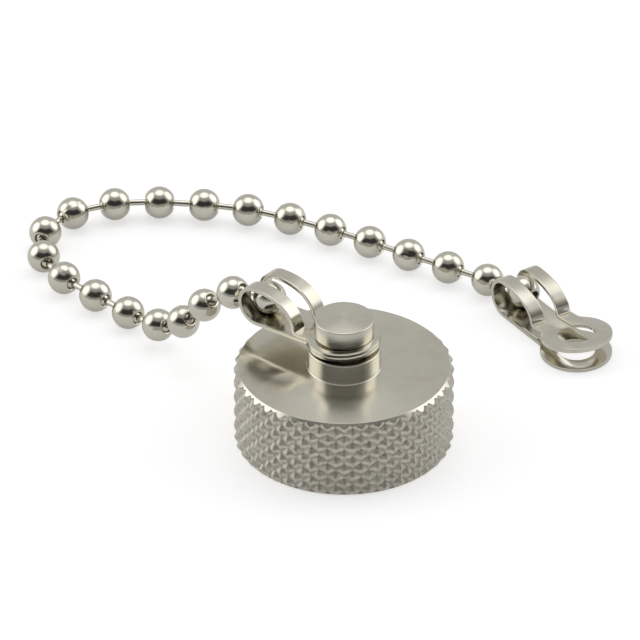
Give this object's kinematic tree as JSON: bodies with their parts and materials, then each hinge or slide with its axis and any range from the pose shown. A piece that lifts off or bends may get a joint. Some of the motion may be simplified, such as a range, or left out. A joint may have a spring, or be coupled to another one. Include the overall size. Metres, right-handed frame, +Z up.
{
  "type": "connector dust cap",
  "caption": "Knurled metal screw cap that keeps dust off a coaxial connector, held by a bead chain whose far coupling is screwed down beside the connector.",
  "frame": {"origin": "on the table, below the middle of the whole part as it lies", "axes": "+Z up along the cap's axis, with the cap's open rim down; +X along the part's longest extent, from the chain's bend towards the loose coupling; +Y from the cap towards the chain's far run"},
  "size_m": [0.057, 0.051, 0.0138],
  "materials": {
    "nickel_plate": "bright nickel plate",
    "chain_nickel": "bright nickel plate",
    "seal_rubber": "matt black"
  },
  "bodies": {
    "cap": {"cap_body": "nickel_plate", "gasket": "seal_rubber", "retaining_stud": "nickel_plate"},
    "cap_coupling": {"cap_coupling": "nickel_plate"},
    "ball_00": {"chain_ball_00": "chain_nickel"},
    "link_00": {"chain_link_00": "chain_nickel"},
    "ball_01": {"chain_ball_01": "chain_nickel"},
    "link_01": {"chain_link_01": "chain_nickel"},
    "ball_02": {"chain_ball_02": "chain_nickel"},
    "link_02": {"chain_link_02": "chain_nickel"},
    "ball_03": {"chain_ball_03": "chain_nickel"},
    "link_03": {"chain_link_03": "chain_nickel"},
    "ball_04": {"chain_ball_04": "chain_nickel"},
    "link_04": {"chain_link_04": "chain_nickel"},
    "ball_05": {"chain_ball_05": "chain_nickel"},
    "link_05": {"chain_link_05": "chain_nickel"},
    "ball_06": {"chain_ball_06": "chain_nickel"},
    "link_06": {"chain_link_06": "chain_nickel"},
    "ball_07": {"chain_ball_07": "chain_nickel"},
    "link_07": {"chain_link_07": "chain_nickel"},
    "ball_08": {"chain_ball_08": "chain_nickel"},
    "link_08": {"chain_link_08": "chain_nickel"},
    "ball_09": {"chain_ball_09": "chain_nickel"},
    "link_09": {"chain_link_09": "chain_nickel"},
    "ball_10": {"chain_ball_10": "chain_nickel"},
    "link_10": {"chain_link_10": "chain_nickel"},
    "ball_11": {"chain_ball_11": "chain_nickel"},
    "link_11": {"chain_link_11": "chain_nickel"},
    "ball_12": {"chain_ball_12": "chain_nickel"},
    "link_12": {"chain_link_12": "chain_nickel"},
    "ball_13": {"chain_ball_13": "chain_nickel"},
    "link_13": {"chain_link_13": "chain_nickel"},
    "ball_14": {"chain_ball_14": "chain_nickel"},
    "link_14": {"chain_link_14": "chain_nickel"},
    "ball_15": {"chain_ball_15": "chain_nickel"},
    "link_15": {"chain_link_15": "chain_nickel"},
    "ball_16": {"chain_ball_16": "chain_nickel"},
    "link_16": {"chain_link_16": "chain_nickel"},
    "ball_17": {"chain_ball_17": "chain_nickel"},
    "link_17": {"chain_link_17": "chain_nickel"},
    "ball_18": {"chain_ball_18": "chain_nickel"},
    "link_18": {"chain_link_18": "chain_nickel"},
    "ball_19": {"chain_ball_19": "chain_nickel"},
    "link_19": {"chain_link_19": "chain_nickel"},
    "ball_20": {"chain_ball_20": "chain_nickel"},
    "link_20": {"chain_link_20": "chain_nickel"},
    "ball_21": {"chain_ball_21": "chain_nickel"},
    "end_coupling": {"end_coupling": "nickel_plate"}
  },
  "joints": [
    {"name": "cap_coupling_swivel", "type": "hinge", "parent": "cap", "child": "cap_coupling", "pos_m": [0.0025, -0.01498, 0.01066], "axis": [0, 0, 1], "continuous": true},
    {"name": "first_ball_pitch", "type": "hinge", "parent": "cap_coupling", "child": "ball_00", "pos_m": [-0.00457, -0.00894, 0.0117], "axis": [-0.6494, -0.7604, 0], "range_deg": [-100, 2.5]},
    {"name": "link_00_yaw", "type": "hinge", "parent": "ball_00", "child": "link_00", "pos_m": [-0.00522, -0.00838, 0.0116], "axis": [-0.1222, 0.092, 0.9882], "range_deg": [-28, 9]},
    {"name": "ball_01_pitch", "type": "hinge", "parent": "link_00", "child": "ball_01", "pos_m": [-0.00747, -0.0069, 0.01108], "axis": [-0.5558, -0.8313, 0], "range_deg": [-39.8, 3.1]},
    {"name": "link_01_yaw", "type": "hinge", "parent": "ball_01", "child": "link_01", "pos_m": [-0.00871, -0.00606, 0.01023], "axis": [0.4619, -0.323, -0.826], "range_deg": [-20.5, 17.8]},
    {"name": "ball_02_pitch", "type": "hinge", "parent": "link_01", "child": "ball_02", "pos_m": [-0.01044, -0.00481, 0.00849], "axis": [0.6222, 0.7828, 0], "range_deg": [-13.2, 28.9]},
    {"name": "link_02_yaw", "type": "hinge", "parent": "ball_02", "child": "link_02", "pos_m": [-0.01132, -0.00403, 0.00723], "axis": [-0.5408, 0.5192, 0.6618], "range_deg": [-18, 24.5]},
    {"name": "ball_03_pitch", "type": "hinge", "parent": "link_02", "child": "ball_03", "pos_m": [-0.01254, -0.00276, 0.00513], "axis": [-0.7382, -0.6746, 0], "range_deg": [-12, 30.8]},
    {"name": "link_03_yaw", "type": "hinge", "parent": "ball_03", "child": "link_03", "pos_m": [-0.0134, -0.00178, 0.00401], "axis": [0.3846, -0.4475, -0.8074], "range_deg": [-20.6, 18.5]},
    {"name": "ball_04_pitch", "type": "hinge", "parent": "link_03", "child": "ball_04", "pos_m": [-0.01491, 0.00002, 0.00256], "axis": [0.7573, 0.6531, 0], "range_deg": [-35, 7.7]},
    {"name": "link_04_yaw", "type": "hinge", "parent": "ball_04", "child": "link_04", "pos_m": [-0.01599, 0.00124, 0.00203], "axis": [-0.1549, 0.1721, 0.9728], "range_deg": [-20.4, 18.3]},
    {"name": "ball_05_pitch", "type": "hinge", "parent": "link_04", "child": "ball_05", "pos_m": [-0.01782, 0.00324, 0.00161], "axis": [-0.7219, -0.692, 0], "range_deg": [-12.9, 29.6]},
    {"name": "link_05_yaw", "type": "hinge", "parent": "ball_05", "child": "link_05", "pos_m": [-0.01904, 0.00446, 0.0016], "axis": [0.0024, -0.0023, -1], "range_deg": [-20, 22.9]},
    {"name": "ball_06_pitch", "type": "hinge", "parent": "link_05", "child": "ball_06", "pos_m": [-0.02103, 0.00636, 0.0016], "axis": [0.6774, 0.7356, 0], "range_deg": [-21.4, 21.4]},
    {"name": "link_06_yaw", "type": "hinge", "parent": "ball_06", "child": "link_06", "pos_m": [-0.02232, 0.0075, 0.0016], "axis": [0, 0, 1], "range_deg": [-19.1, 23.8]},
    {"name": "ball_07_pitch", "type": "hinge", "parent": "link_06", "child": "ball_07", "pos_m": [-0.02429, 0.00941, 0.0016], "axis": [-0.7412, -0.6712, 0], "range_deg": [-20.1, 20.1]},
    {"name": "link_07_yaw", "type": "hinge", "parent": "ball_07", "child": "link_07", "pos_m": [-0.02536, 0.01076, 0.0016], "axis": [0, 0, -1], "range_deg": [-30.4, 12.4]},
    {"name": "ball_08_pitch", "type": "hinge", "parent": "link_07", "child": "ball_08", "pos_m": [-0.02671, 0.01316, 0.0016], "axis": [0.9265, 0.3764, 0], "range_deg": [-15.8, 15.8]},
    {"name": "link_08_yaw", "type": "hinge", "parent": "ball_08", "child": "link_08", "pos_m": [-0.02715, 0.01482, 0.0016], "axis": [0, 0, 1], "range_deg": [-6.7, 36.2]},
    {"name": "ball_09_pitch", "type": "hinge", "parent": "link_08", "child": "ball_09", "pos_m": [-0.02715, 0.01757, 0.0016], "axis": [-0.9878, 0.1557, 0], "range_deg": [-11.7, 11.7]},
    {"name": "link_09_yaw", "type": "hinge", "parent": "ball_09", "child": "link_09", "pos_m": [-0.02662, 0.01921, 0.0016], "axis": [0, 0, -1], "range_deg": [-40.2, 2.6]},
    {"name": "ball_10_pitch", "type": "hinge", "parent": "link_09", "child": "ball_10", "pos_m": [-0.02498, 0.02141, 0.0016], "axis": [0.6832, -0.7302, 0], "range_deg": [-7.2, 7.2]},
    {"name": "link_10_yaw", "type": "hinge", "parent": "ball_10", "child": "link_10", "pos_m": [-0.02353, 0.02234, 0.0016], "axis": [0, 0, 1], "range_deg": [-10.1, 32.8]},
    {"name": "ball_11_pitch", "type": "hinge", "parent": "link_10", "child": "ball_11", "pos_m": [-0.02098, 0.02336, 0.0016], "axis": [-0.3066, 0.9519, 0], "range_deg": [-20.1, 20.1]},
    {"name": "link_11_yaw", "type": "hinge", "parent": "ball_11", "child": "link_11", "pos_m": [-0.01931, 0.02378, 0.0016], "axis": [0, 0, -1], "range_deg": [-32.3, 10.5]},
    {"name": "ball_12_pitch", "type": "hinge", "parent": "link_11", "child": "ball_12", "pos_m": [-0.01656, 0.02393, 0.0016], "axis": [-0.0009, -1, 0], "range_deg": [-20.5, 20.5]},
    {"name": "link_12_yaw", "type": "hinge", "parent": "ball_12", "child": "link_12", "pos_m": [-0.01485, 0.02383, 0.0016], "axis": [0, 0, 1], "range_deg": [-14.5, 23.9]},
    {"name": "ball_13_pitch", "type": "hinge", "parent": "link_12", "child": "ball_13", "pos_m": [-0.01211, 0.02355, 0.0016], "axis": [0.123, 0.9924, 0], "range_deg": [-21.3, 21.3]},
    {"name": "link_13_yaw", "type": "hinge", "parent": "ball_13", "child": "link_13", "pos_m": [-0.01041, 0.0233, 0.0016], "axis": [0, 0, -1], "range_deg": [-25, 15]},
    {"name": "ball_14_pitch", "type": "hinge", "parent": "link_13", "child": "ball_14", "pos_m": [-0.00772, 0.02274, 0.0016], "axis": [-0.2497, -0.9683, 0], "range_deg": [-20.8, 20.8]},
    {"name": "link_14_yaw", "type": "hinge", "parent": "ball_14", "child": "link_14", "pos_m": [-0.00607, 0.02223, 0.0016], "axis": [0, 0, 1], "range_deg": [-16.6, 26.3]},
    {"name": "ball_15_pitch", "type": "hinge", "parent": "link_14", "child": "ball_15", "pos_m": [-0.00352, 0.02121, 0.0016], "axis": [0.3987, 0.9171, 0], "range_deg": [-21.2, 21.2]},
    {"name": "link_15_yaw", "type": "hinge", "parent": "ball_15", "child": "link_15", "pos_m": [-0.00196, 0.02048, 0.0016], "axis": [0, 0, -1], "range_deg": [-23.1, 19.8]},
    {"name": "ball_16_pitch", "type": "hinge", "parent": "link_15", "child": "ball_16", "pos_m": [0.00049, 0.01924, 0.0016], "axis": [-0.4585, -0.8887, 0], "range_deg": [-21.4, 21.4]},
    {"name": "link_16_yaw", "type": "hinge", "parent": "ball_16", "child": "link_16", "pos_m": [0.00201, 0.01844, 0.0016], "axis": [0, 0, 1], "range_deg": [-19.1, 23.8]},
    {"name": "ball_17_pitch", "type": "hinge", "parent": "link_16", "child": "ball_17", "pos_m": [0.00439, 0.01706, 0.0016], "axis": [0.5128, 0.8585, 0], "range_deg": [-21.4, 21.4]},
    {"name": "link_17_yaw", "type": "hinge", "parent": "ball_17", "child": "link_17", "pos_m": [0.00586, 0.01616, 0.0016], "axis": [0, 0, -1], "range_deg": [-21.6, 21.3]},
    {"name": "ball_18_pitch", "type": "hinge", "parent": "link_17", "child": "ball_18", "pos_m": [0.00819, 0.01471, 0.0016], "axis": [-0.5199, -0.8542, 0], "range_deg": [-21.4, 21.4]},
    {"name": "link_18_yaw", "type": "hinge", "parent": "ball_18", "child": "link_18", "pos_m": [0.00967, 0.01383, 0.0016], "axis": [0, 0, 1], "range_deg": [-21.9, 21]},
    {"name": "ball_19_pitch", "type": "hinge", "parent": "link_18", "child": "ball_19", "pos_m": [0.01204, 0.01243, 0.0016], "axis": [0.5065, 0.8622, 0], "range_deg": [-21.4, 21.4]},
    {"name": "link_19_yaw", "type": "hinge", "parent": "ball_19", "child": "link_19", "pos_m": [0.01352, 0.01156, 0.0016], "axis": [0, 0, -1], "range_deg": [-22, 20.9]},
    {"name": "ball_20_pitch", "type": "hinge", "parent": "link_19", "child": "ball_20", "pos_m": [0.01588, 0.01015, 0.0016], "axis": [-0.5277, -0.8494, 0], "range_deg": [-23.7, 19]},
    {"name": "link_20_yaw", "type": "hinge", "parent": "ball_20", "child": "link_20", "pos_m": [0.01733, 0.00922, 0.00167], "axis": [-0.0745, 0.0526, 0.9958], "range_deg": [-15.7, 25.6]},
    {"name": "last_ball_roll", "type": "hinge", "parent": "link_20", "child": "ball_21", "pos_m": [0.01948, 0.00755, 0.00206], "axis": [0.7834, -0.6054, 0.1406], "continuous": true},
    {"name": "end_coupling_pitch", "type": "hinge", "parent": "ball_21", "child": "end_coupling", "pos_m": [0.02008, 0.00693, 0.00206], "axis": [-0.829, -0.5592, 0], "range_deg": [-6, 98.5]}
  ]
}
